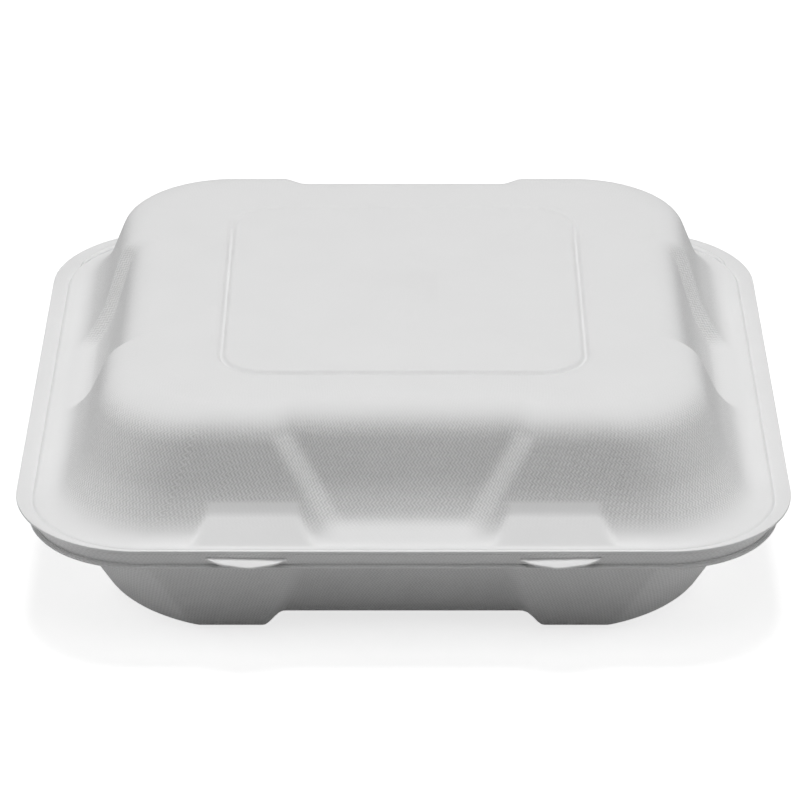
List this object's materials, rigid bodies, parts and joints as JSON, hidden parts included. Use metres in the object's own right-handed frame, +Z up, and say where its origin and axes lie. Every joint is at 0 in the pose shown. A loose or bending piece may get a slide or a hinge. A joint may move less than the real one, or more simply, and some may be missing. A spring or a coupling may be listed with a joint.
{
  "type": "hinged meal box",
  "caption": "Square hinged meal box moulded from sugarcane pulp, with a fluted tray, a raised lid on a back fold, and front tongues that lock in slots of the rim.",
  "frame": {"origin": "middle of the closed box, at the bottom of its feet", "axes": "+X to the right seen from the front, +Y from the front locks to the back fold, +Z up"},
  "size_m": [0.2294, 0.2277, 0.072],
  "materials": {
    "pulp": "matt moulded pulp with a fine mesh imprint"
  },
  "bodies": {
    "tray": {"tray": "pulp"},
    "lid": {"lid": "pulp", "tongue_left": "pulp", "tongue_right": "pulp"}
  },
  "joints": [
    {"name": "lid_fold", "type": "hinge", "parent": "tray", "child": "lid", "pos_m": [0, 0.11282, 0.03843], "axis": [-1, 0, 0], "range_deg": [0, 180], "deforming": ["tongue_left", "tongue_right"]}
  ]
}
